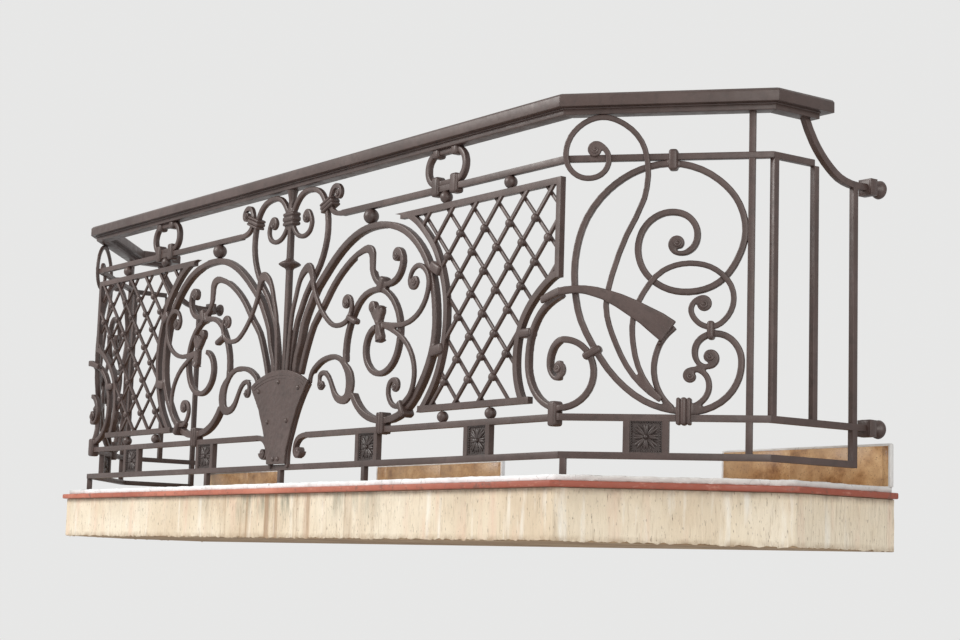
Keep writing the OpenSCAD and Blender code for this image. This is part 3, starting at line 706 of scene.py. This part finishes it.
def lattice_frame():
    left = prism("left_side", bar_outline(LEFT_SIDE, FRAME_W), 0, FRAME_DEPTH)
    right = prism("right_side", bar_outline(RIGHT_SIDE, FRAME_W), 0, FRAME_DEPTH)
    for side in (left, right):
        cut_flat(side, [((0, 0, FRAME_TOP_Z), (0, 0, 1)), ((0, 0, FRAME_LOW_Z), (0, 0, -1)),
                        ((FRAME_END_X, 0, 0), (1, 0, 0))])
    straight = [(632, FRAME_END_X, FRAME_TOP_Z - FRAME_W, FRAME_TOP_Z),
                (FRAME_END_X - FRAME_W, FRAME_END_X, FRAME_STEP_Z, FRAME_TOP_Z),
                (752, 1262, FRAME_LOW_Z, FRAME_LOW_Z + FRAME_W)]
    for other in [right, *[prism("frame_bar", rectangle(*bar), 0, FRAME_DEPTH) for bar in straight]]:
        carve(left, other, "UNION")
    tidy_normals(left)
    bevel(left, 2.2, 3)
    return left


def lattice_layer(side, v0, v1):
    """One layer of parallel bars, cut to the panel's open field."""
    angle = side * math.atan2(KNOT_RISE, KNOT_STEP)
    way, across = Vector((math.cos(angle), math.sin(angle))), Vector((-math.sin(angle), math.cos(angle)))
    bars = []
    for k in LAYER_BARS:
        middle = Vector((FIRST_KNOT[0] + k * KNOT_STEP, FIRST_KNOT[1]))
        corners = rectangle(-LAYER_REACH, LAYER_REACH, -LAYER_BAR_HALF, LAYER_BAR_HALF)
        bars.append(prism("bar", [tuple(middle + x * way + z * across) for x, z in corners], v0, v1))
    layer = join("layer", bars)
    carve(layer, prism("field", FIELD, v0 - 5, v1 + 5), "INTERSECT")
    bevel(layer, 1.8, 2)
    return layer


def lattice_studs():
    profile = [(0, -7.5), (5, -6.8), (9, -5.0), (11.6, -2.2), (12, 0.8), (11, 2.5), (11, 9.2), (0, 9.2)]
    stud = put(turned("stud", profile, 14), rotation(-90, "X"))
    x0, z0 = FIRST_KNOT[0] + STUD_SHIFT[0], FIRST_KNOT[1] + STUD_SHIFT[1]
    places = [spot(x0 + (shift / 2 + i) * KNOT_STEP, 0, z0 - row * KNOT_RISE / 2)
              for row, (shift, count) in enumerate(KNOT_ROWS) for i in range(count)]
    return cloned(stud, "studs", places)


lattice = join("lattice_forged", [lattice_frame(), lattice_layer(1, 0.5, 9), lattice_layer(-1, 9, 16.5),
                                  lattice_studs()])
both_sides(put(lattice, PANELS["front"]), "iron", iron, "lattice")

# Collars: bands wrapped hot round the bars. Panel, middle (x, z), width, height, tilt in degrees,
# depth from and to, how many bands side by side, and along which way of the drawing they follow
RING_X, RING_SIDES = 852, (-42, 47)
COLLARS = [
    ("front", (227, 870), 62, 28, 20, 0, 16, 3, "Z"),
    ("front", (569, 178), 30, 56, 0, 0, 18, 3, "X"),
    ("front", (547, 588), 22, 40, -20, 0, 16, 1, "X"),
    ("front", (822, 606), 44, 26, -28, 0, 13, 1, "Z"),
    ("front", (838, 372), 52, 26, 8, 0, 13, 1, "Z"),
    ("front", (684, 214), 18, 44, 28.6, -8, 20, 1, "X"),
    ("front", (405, 495), 48, 14, -22, -8, 0, 1, "Z"),
    ("bay", (320, 177), 34, 62, 0, 0, 16, 3, "X"),
    ("bay", (283, 825), 20, 48, 0, 0, 16, 1, "X"),
    ("bay", (82, 326), 46, 15, 28, 0, 16, 1, "Z"),
    ("bay", (386, 383), 15, 40, 0, -6, 16, 1, "X"),
    ("corner", (-26, 169), 26, 58, 0, 0, 16, 1, "X"),
    ("corner", (-150, 388), 44, 20, 0, 0, 16, 1, "Z"),
]
COLLARS += [("front", (RING_X + s, 841), 27, 50, 0, 0, 16, 1, "X") for s in RING_SIDES]
COLLARS += [("front", (RING_X + s, 937), 25, 21, 0, 0, 16, 1, "X") for s in RING_SIDES]
# How much a collar stands out of its bars, along them, across them and at each face
ALONG_MORE, ACROSS_MORE, PROUD = 4, 7, 8.5
# Each band's share of the collar and how much it stands out of its neighbours
BANDS = {1: [(1.0, 0.0)], 3: [(0.28, 0.0), (0.44, 2.0), (0.28, 0.0)]}
# Greatest radius of a band's edges, also as a share of its width
BAND_ROUND, BAND_ROUND_SHARE = 7.5, 0.46


def collar(panel_name, middle, w, h, tilt, v0, v1, bands, way):
    """One collar, as a rounded band, or as a thick band between two thin ones."""
    along = (w if way == "X" else h) + ALONG_MORE
    across = (h if way == "X" else w) + ACROSS_MORE
    depth = v1 - v0 + 2 * PROUD
    pieces, start = [], -along / 2
    for share, bold in BANDS[bands]:
        width = along * share
        size = (width, depth + bold, across + bold) if way == "X" else (across + bold, depth + bold, width)
        shift = start + width / 2
        place = spot(shift, 0, 0) if way == "X" else spot(0, 0, shift)
        radius = min(BAND_ROUND, width * BAND_ROUND_SHARE)
        pieces.append(put(rounded_block("band", size, radius), place))
        start += width
    place = spot(middle[0], (v0 + v1) / 2, middle[1]) @ rotation(-tilt, "Y")
    return put(join("collar", pieces), PANELS[panel_name] @ place)


both_sides(join("collars", [collar(*row) for row in COLLARS]), "iron", iron)
stem_collar = join("stem_collar", [collar("front", (0, 853), 56, 38, 0, 0, 16, 3, "Z")])
smooth(stem_collar)
settle(stem_collar, "iron", iron)

# Volute eyes: the bar's end runs on in a tight coil round a small ball, on both faces
# Panel, middle, outer radius, turning way, front and back face
EYES = [
    ("front", (229, 309), 12, 1, 0, 7), ("front", (617, 666), 12, 1, 0, 7),
    ("front", (366, 548), 13, 1, -8, 0), ("front", (726, 577), 15, 1, -8, 0),
    ("front", (646, 281), 13, -1, -8, 0), ("front", (283, 898), 12, -1, 0, 10),
    ("front", (108, 110), 21, 1, 0, 16), ("front", (100, 846), 12, 1, 0, 10),
    ("corner", (-10, 286), 15, -1, 0, 16), ("bay", (298, 608), 13, -1, 0, 16),
    ("bay", (384, 316), 13, 1, 0, 16), ("bay", (335, 266), 12, 1, 0, 16),
    ("bay", (80, 853), 12, -1, -8, 0), ("bay", (368, 449), 14, -1, -8, 0),
]
COIL_BAR, COIL_ARM, COIL_STEPS, COIL_STEP, COIL_SHRINK, COIL_BALL = 3.3, 8.2, 16, 32, 0.945, 3.6
EYE_PROUD = 2.2


def coil():
    """A tapering coil of round bar that closes on a ball."""
    bpy.ops.mesh.primitive_circle_add(vertices=8, radius=COIL_BAR * MM, fill_type="NGON",
                                      location=(COIL_ARM * MM, 0, 0))
    piece = bpy.context.object
    edit(piece, "FACE")
    for _ in range(COIL_STEPS):
        bpy.ops.mesh.extrude_region_move()
        bpy.ops.transform.rotate(value=-math.radians(COIL_STEP), orient_axis="Y", center_override=(0, 0, 0))
        bpy.ops.transform.resize(value=[COIL_SHRINK] * 3, center_override=(0, 0, 0))
    leave()
    tidy_normals(piece)
    return join("coil", [piece, ball(COIL_BALL, scale=(1, 0.9, 1))])


def eye_places():
    for panel_name, (x, z), radius, way, v0, v1 in EYES:
        size = radius / (COIL_ARM + COIL_BAR)
        for v in (v0 - EYE_PROUD, v1 + EYE_PROUD):
            yield PANELS[panel_name] @ spot(x, v, z) @ Matrix.Diagonal((way * size, 1.0, size, 1))


both_sides(cloned(coil(), "volute_eyes", eye_places()), "iron", iron)


# Cast rosettes in the little boxes of the base frame
def rosette_relief():
    """Eight petals of two lobes, with a tip between them, a button and a beaded rim."""
    pieces = []
    for i in range(8):
        reach = 17.5 if i % 2 else 14.5
        for lean in (-7, 7):
            lobe = put(ball(1, scale=(reach, 3.6, 4.3), segments=10, rings=7),
                       rotation(lean, "Y") @ spot(reach + 4, 0, 0))
            pieces.append(put(lobe, rotation(45 * i, "Y")))
        tip = ball(1, (29, 0.6, 0), (9, 2.0, 2.4), 8, 5)
        pieces.append(put(tip, rotation(45 * i + 22.5, "Y")))
    pieces.append(ball(6.5, (0, -2.4, 0)))
    for i in range(12):
        along = -34.1 + 6.2 * i
        for x, z in ((along, 37), (37, -along), (-along, -37), (-37, along)):
            pieces.append(ball(2.7, (x, 0, z), segments=8, rings=5))
    for x, z, w, h in ((0, 39.2, 82, 3), (0, -39.2, 82, 3), (40, 0, 3, 80), (-40, 0, 3, 80)):
        pieces.append(put(rounded_block("rim", (w, 6, h), 1.2, 2), spot(x, -0.5, z)))
    return join("relief", pieces)


ROSETTE_Z = 111.5
FACES = [spot(0, 4.2, ROSETTE_Z), spot(0, 9.8, ROSETTE_Z) @ Matrix.Diagonal((1, -1, 1, 1))]
BOXES = [("front", 494), ("front", 1039), ("bay", 225)]
relief_places = [PANELS[name] @ spot(x, 0, 0) @ face for name, x in BOXES for face in FACES]
# The rosettes and their plates wear the darker copy of the paint, as painted shade in their recessed boxes
both_sides(cloned(rosette_relief(), "rosette_reliefs", relief_places), "iron", iron_in_painted_shade)
settle(copy_of(nodes["rosettes"], "rosette_plates"), "iron", iron_in_painted_shade, "rosettes")

# Shield plate: hammered sheet with rivets, two chased lines, and a bar bent along each curved side
shield = forged_copy("shield_plate", 0, 0.8, 2)
even_skin(shield, 2.3)
lumpy(shield, 17, 2.2, depth=2, direction="Y")
smooth(shield, 50)
settle(shield, "iron", iron, "shield_plate")

RIVET = [(0, 5.5), (3.5, 5.0), (6.3, 3.2), (7.6, 0.8), (7.8, -2), (0, -2)]
RIVET_PLACES = [(0, 330), (121, 306), (-121, 306), (58, 206), (-58, 206), (14, 88), (-14, 88)]
PLATE_SIDE = [(52, 60), (53, 112), (78, 180), (112, 250), (164, 319)]
ARC_RADII, ARC_CENTRE_Z, ARC_FROM, ARC_SPAN, ARC_STEPS = (393, 383), -40, 67, 46, 16
PLATE_FACE = -16


def arc(radius):
    """Stations of a chased line over the head of the plate."""
    angles = [math.radians(ARC_FROM + ARC_SPAN * i / ARC_STEPS) for i in range(ARC_STEPS + 1)]
    return [(radius * math.cos(a), radius * math.sin(a) + ARC_CENTRE_Z) for a in angles]


rivet = put(turned("rivet", RIVET, 16), rotation(90, "X"))
trim = [cloned(rivet, "rivets", [spot(x, PLATE_FACE, z) for x, z in RIVET_PLACES])]
for radius in ARC_RADII:
    trim.append(prism("chased_line", bar_outline(arc(radius), 2.6, 2), PLATE_FACE - 1.4, PLATE_FACE + 2))
    bevel(trim[-1], 1.0, 2)
for s in (-1, 1):
    trim.append(prism("side_bar", bar_outline([(s * x, z) for x, z in PLATE_SIDE], 13), -7.5, 7.5))
    bevel(trim[-1], 3, 3)
shield_trim = put(join("shield_trim", trim), PANELS["front"])
smooth(shield_trim)
settle(shield_trim, "iron", iron)

# Blossoms at the meeting of the stalks: three trumpets, each with a bud in its mouth
TRUMPET = [(0, 0), (6, 0), (6.5, 20), (9, 38), (13.5, 50), (18, 57), (16.8, 58.4), (12, 53), (6, 46),
           (0, 44)]
BLOSSOM = (553, -8, 472)
trumpets = []
for x, z, size in ((522, 522, 0.9), (561, 506, 0.85), (562, 430, 0.95)):
    way = Vector((x - BLOSSOM[0], 0, z - BLOSSOM[2])).normalized()
    bud = ball(6.5, (0, 0, 50), (1, 1, 1.3))
    flower = put(join("trumpet", [turned("trumpet", TRUMPET, 20), bud]), Matrix.Scale(size, 4))
    trumpets.append(put(flower, spot(*BLOSSOM) @ way.to_track_quat("Z", "Y").to_matrix().to_4x4()))
trumpets.append(ball(13, BLOSSOM, (1, 0.9, 1), 16, 10))
both_sides(put(join("blossoms", trumpets), PANELS["front"]), "iron", iron)

# Ribbed saucer half way up the middle stem, and the stem's flare under the handrail
SAUCER = [(0, 687), (12, 688), (15, 694), (31, 702), (36, 706), (36, 709), (31, 713), (15, 721), (12, 727),
          (0, 728)]
FLARE = [(0, 905), (11.5, 905), (12.5, 920), (16, 938), (18.5, 946.5), (0, 946.5)]
saucer = turned("saucer", SAUCER, 12)
bevel(saucer, 1.4, 2, 18)
stem_turnings = join("stem_turnings", [saucer, turned("flare", FLARE, 24)])
put(stem_turnings, PANELS["front"] @ spot(0, MID, 0))
smooth(stem_turnings, 30)
settle(stem_turnings, "iron", iron)

# Wall fixings of the returns: a rounded collar, a neck ring and a domed boss against the wall
BOSS = [(0, 0.2), (23, 0.2), (25, 4), (24, 10), (19, 17), (13, 21), (11.5, 25), (14, 28), (14, 33),
        (11, 36), (0, 36)]
FIXING_HEIGHTS, FIXING_COLLAR_X = (160, 798), 357
fixings = []
for z in FIXING_HEIGHTS:
    fixings += [put(turned("boss", BOSS, 28), spot(RETURN_DEPTH, MID, z) @ rotation(-90, "Y")),
                put(rounded_block("block", (27, 46, 46), 8), spot(FIXING_COLLAR_X, MID, z))]
both_sides(put(join("wall_fixings", fixings), PANELS["return"]), "iron", iron)

# Slab, as the frame has it: flashing and mortar strip on its edge
SLAB_FRONT, SLAB_WIDTH, SLAB_REACH, SLAB_SIDE = 1439, 1848, 799, 356
flashing = clean_copy("flashing", "_laid")
bevel(flashing, 3.5, 3)
smooth(flashing)
settle(flashing, "flashing", terracotta, "flashing")

mortar_strip = clean_copy("edge_strip", "_laid")
even_skin(mortar_strip, 4.5)
lumpy(mortar_strip, 42, 5.0)
lumpy(mortar_strip, 12, 2.0)
# The skin has gained a little beyond the wall and the frame's width and reach
cut_flat(mortar_strip, [WALL])
put(mortar_strip, Matrix.Diagonal((0.9992, 0.9985, 1, 1)))
smooth(mortar_strip, 60)
settle(mortar_strip, "grout", white_mortar, "edge_strip")

# Tiles on the floor and along the wall. The skirting's right run starts further out than in the frame
TILE, FIRST_ROW = 331, -250
SKIRT_START_IN_FRAME, SKIRT_START = 1140, 1226
HALF_JOINT, TILE_EDGE, TILE_RISE = 2.2, 1.2, 1.3


def tiled(piece, name, cuts, facing):
    """Cuts a piece into tiles and raises each one's face a little out of its joints."""
    edit(piece)
    for point, way in cuts:
        bpy.ops.mesh.select_all(action="SELECT")
        bpy.ops.mesh.bisect(plane_co=[c * MM for c in point], plane_no=way)
    leave()
    choose(piece, "FACE", lambda face: face.normal.dot(Vector(facing)) > 0.9)
    bpy.ops.mesh.inset(thickness=HALF_JOINT * MM, depth=0, use_individual=True)
    bpy.ops.mesh.inset(thickness=TILE_EDGE * MM, depth=TILE_RISE * MM, use_individual=True)
    leave()
    smooth(piece, 30)
    settle(piece, "tiles", tile, name)


columns = [((x, 0, 0), (1, 0, 0)) for x in range(-5 * TILE - TILE // 2, SLAB_WIDTH, TILE)]
rows = [((0, y, 0), (0, 1, 0)) for y in (FIRST_ROW, FIRST_ROW - TILE)]
tiled(clean_copy("floor_tiles", "_laid"), "floor_tiles", columns + rows, (0, 0, 1))
skirting = clean_copy("skirting", "_laid")
choose(skirting, "VERT", lambda v: abs(v.co.x - SKIRT_START_IN_FRAME * MM) < 0.5 * MM)
bpy.ops.transform.translate(value=((SKIRT_START - SKIRT_START_IN_FRAME) * MM, 0, 0))
leave()
tiled(skirting, "skirting", columns, (0, -1, 0))

# White joint along the top and the ends of each run of skirting
SKIRT_RUNS = [(-SLAB_WIDTH, -1240), (-560, 180), (SKIRT_START, SLAB_WIDTH)]
JOINT_TOP_Z, JOINT_MIDDLE_Z, JOINT_LENGTH, JOINT_ROUND = 209, 155, 112, 2.5
beads = []
for x0, x1 in SKIRT_RUNS:
    top = rounded_block("bead", (x1 - x0, 13, 7), JOINT_ROUND, 2)
    beads.append(put(top, spot((x0 + x1) / 2, -6.6, JOINT_TOP_Z)))
    for x in (max(x0, 2 - SLAB_WIDTH), min(x1, SLAB_WIDTH - 2)):
        end = rounded_block("bead", (9, 13.5, JOINT_LENGTH), JOINT_ROUND, 2)
        beads.append(put(end, spot(x, -6.9, JOINT_MIDDLE_Z)))
joints = join("skirting_joints", beads)
smooth(joints)
settle(joints, "grout", white_mortar)

# Render coat: one long strip, combed downwards, with a ragged drip edge, folded round the corners
CANT = math.hypot(SLAB_WIDTH - SLAB_FRONT, SLAB_REACH - SLAB_SIDE)
CANT_ANGLE = math.atan2(SLAB_REACH - SLAB_SIDE, SLAB_WIDTH - SLAB_FRONT)
SIDE_ANGLE = math.pi / 2 - CANT_ANGLE
# How far the strip stands off the slab, its height, its thickness, and where its ragged rows begin
COAT, COAT_HEIGHT, COAT_THICKNESS, DRIP_EDGE = 3.2, 133, 6, -66
COAT_COLUMNS, COAT_ROWS = 1080, 22
# Share of the height that the strip is squashed to while it is combed
SQUASH = 0.12
FIRST_FOLD = SLAB_FRONT + COAT * math.tan(CANT_ANGLE / 2)
AROUND = COAT * math.tan(SIDE_ANGLE / 2)
SECOND_FOLD = FIRST_FOLD + CANT + COAT * math.tan(CANT_ANGLE / 2) + AROUND


def fold(piece, place, angle):
    """Turns everything beyond place, along the strip, by an angle about the upright edge there."""
    side = 1 if place > 0 else -1
    choose(piece, "VERT", lambda v: side * v.co.x > (abs(place) + 0.05) * MM)
    bpy.ops.transform.rotate(value=-side * angle, orient_axis="Z",
                             center_override=(place * MM, -(SLAB_REACH + COAT) * MM, 0))
    leave()


def coat():
    length = 2 * (SECOND_FOLD + AROUND + SLAB_SIDE)
    bpy.ops.mesh.primitive_grid_add(x_subdivisions=COAT_COLUMNS, y_subdivisions=COAT_ROWS, size=1,
                                    location=(0, 0, 0), rotation=(math.pi / 2, 0, 0))
    piece = bpy.context.object
    piece.name = "render_coat"
    piece.scale = (length * MM, COAT_HEIGHT * MM, 1)
    apply_place(piece)
    # Squashed in height while it is pushed about, so that the unevenness runs in upright grooves
    put(piece, Matrix.Diagonal((1, 1, SQUASH, 1)))
    lumpy(piece, 7, 3.6, direction="Y")
    lumpy(piece, 60, 2.4, direction="Y")
    put(piece, Matrix.Diagonal((1, 1, 1 / SQUASH, 1)))
    choose(piece, "VERT", lambda v: v.co.z < DRIP_EDGE * MM)
    bpy.ops.object.vertex_group_assign_new()
    leave()
    lumpy(piece, 16, 13.0, direction="Z", vertex_group=piece.vertex_groups[0].name)
    put(piece, spot(0, -(SLAB_REACH + COAT), 0))
    for s in (-1, 1):
        fold(piece, s * SECOND_FOLD, SIDE_ANGLE)
        fold(piece, s * FIRST_FOLD, CANT_ANGLE)
    apply_modifier(piece, "SOLIDIFY", thickness=COAT_THICKNESS * MM, offset=-1)
    return piece


render_skin = coat()
tidy_normals(render_skin)
smooth(render_skin, 60)
settle(render_skin, "render", render_coat)
# The slab under the render coat takes the dark brown of painted shade, which shows on its underside
nodes["slab"].data.materials.clear()
nodes["slab"].data.materials.append(underside_in_painted_shade)

# Camera, where the photograph was taken from: across and below, solved from the rails and corners
YAW, PITCH, ROLL = math.radians(53.6989), math.radians(7.3239), math.radians(1.7311)
EYE = Vector((5.2231, -3.8226, -0.1373))
LENS, SENSOR, FAR = 72.0, 36.0, 400


def set_camera():
    ahead = Vector((-math.sin(YAW) * math.cos(PITCH), math.cos(YAW) * math.cos(PITCH), math.sin(PITCH)))
    right = Vector((math.cos(YAW), math.sin(YAW), 0))
    up = right.cross(ahead)
    side = math.cos(ROLL) * right + math.sin(ROLL) * up
    top = -math.sin(ROLL) * right + math.cos(ROLL) * up
    bpy.ops.object.camera_add()
    camera = bpy.context.object
    camera.data.lens = LENS
    camera.data.sensor_width = SENSOR
    camera.data.clip_end = FAR
    camera.matrix_world = Matrix.Translation(EYE) @ Matrix((side, top, -ahead)).transposed().to_4x4()
    scene.camera = camera


# Floor and world, both fading into one pale grey. The floor lies well below, in metres
PALE = (0.80, 0.80, 0.795)
FLOOR_Z, FLOOR_SIZE, FADE_FROM, FADE_TO = -1.1, 300, 2.2, 6.5


def seen_rays(tree):
    """1 for the rays that show something to the camera, straight, mirrored or passed through."""
    rays = tree.nodes.new("ShaderNodeLightPath")
    straight = maths(tree, "MAXIMUM", rays.outputs["Is Camera Ray"], rays.outputs["Is Glossy Ray"])
    return maths(tree, "MAXIMUM", straight, rays.outputs["Is Transmission Ray"])


def blend(tree, fac, first, second, out):
    """Shows the second of two shaders to the share that fac gives."""
    node = add_node(tree, "MixShader", Fac=fac)
    feed(tree, first.outputs[0], node.inputs[1])
    feed(tree, second.outputs[0], node.inputs[2])
    feed(tree, node.outputs[0], out.inputs["Surface"])


def pale_floor():
    bpy.ops.mesh.primitive_plane_add(size=FLOOR_SIZE, location=(0, 0, FLOOR_Z))
    floor = bpy.context.object
    floor.name = "studio_floor"
    material, tree, shader, at = new_finish("studio_floor", 0.9)
    set_inputs(tree, shader, Base_Color=PALE)
    reach = tree.nodes.new("ShaderNodeVectorMath")
    reach.operation = "LENGTH"
    feed(tree, at, reach.inputs[0])
    far = between(tree, reach.outputs["Value"], FADE_FROM, FADE_TO)
    glow = add_node(tree, "Emission", Color=PALE)
    blend(tree, maths(tree, "MULTIPLY", far, seen_rays(tree)), shader, glow, tree.nodes["Material Output"])
    floor.data.materials.append(material)


def soft_world():
    world = bpy.data.worlds.new("studio")
    scene.world = world
    world.use_nodes = True
    tree = world.node_tree
    tree.nodes.clear()
    light = add_node(tree, "Background", Color=(0.90, 0.95, 1.0), Strength=0.5)
    seen = add_node(tree, "Background", Color=PALE, Strength=1.0)
    blend(tree, seen_rays(tree), light, seen, tree.nodes.new("ShaderNodeOutputWorld"))


def lamp(name, place, aim, size, power, colour):
    bpy.ops.object.light_add(type="AREA", location=place)
    light = bpy.context.object
    light.name = name
    light.data.shape = "SQUARE"
    light.data.size = size
    light.data.energy = power
    light.data.color = colour
    light.rotation_euler = (Vector(aim) - Vector(place)).to_track_quat("-Z", "Y").to_euler()


set_camera()
pale_floor()
soft_world()
lamp("key", (-3.0, -7.5, 5.0), (0, -0.5, 0.4), 3.6, 640, (1.0, 0.98, 0.95))
lamp("fill", (6.5, -3.0, 2.0), (1.2, -0.4, 0.4), 4.0, 170, (1.0, 0.97, 0.93))
scene.view_settings.view_transform = "Standard"
